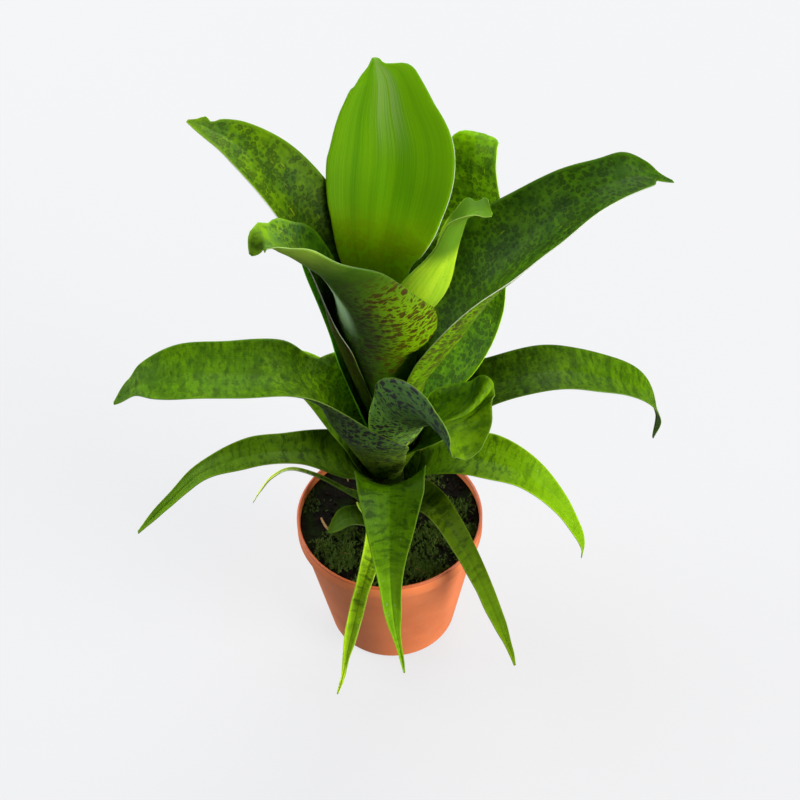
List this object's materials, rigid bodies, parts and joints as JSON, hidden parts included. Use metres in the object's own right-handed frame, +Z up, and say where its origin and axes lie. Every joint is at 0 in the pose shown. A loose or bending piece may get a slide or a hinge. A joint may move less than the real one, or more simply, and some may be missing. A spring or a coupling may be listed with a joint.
{
  "type": "potted bromeliad",
  "caption": "Small potted bromeliad: a rosette of arching, net-marked strap leaves on a short stem, rooted in mossy soil in a tapered plastic nursery pot.",
  "frame": {"origin": "centre of the flat underside of the pot", "axes": "+Z up along the pot's axis, -Y towards the viewer of the front, +X to the right seen from the front"},
  "size_m": [0.1569, 0.0904, 0.1848],
  "materials": {
    "pot": "satin terracotta-coloured plastic",
    "soil": "rough dark potting mix with green moss",
    "stem": "smooth pale green",
    "leaf_bright": "satin, fine lengthwise veins",
    "leaf_young": "satin, fine lengthwise veins",
    "leaf_upper": "satin, with dark blotches above and red-brown marks below",
    "leaf_middle": "satin, with dark blotches above and purple-black spots below",
    "leaf_low": "satin, with faint dark blotches"
  },
  "bodies": {
    "root": {"pot": "pot", "soil": "soil", "stem": "stem", "leaf_crown_back": "leaf_bright", "leaf_heart": "leaf_young", "leaf_funnel": "leaf_upper", "leaf_upper_left": "leaf_upper", "leaf_upper_right": "leaf_upper", "leaf_back_left": "leaf_upper", "leaf_back_right": "leaf_upper", "leaf_middle_front": "leaf_middle", "leaf_middle_left": "leaf_middle", "leaf_middle_right": "leaf_middle", "leaf_low_back": "leaf_low", "leaf_low_back_left": "leaf_low", "leaf_low_back_right": "leaf_low", "leaf_low_left": "leaf_low", "leaf_low_right": "leaf_low", "leaf_front": "leaf_low", "leaf_low_front_left": "leaf_low", "leaf_low_front_right": "leaf_low", "leaf_thin_back_left": "leaf_low", "leaf_old_small": "leaf_low"}
  },
  "joints": []
}
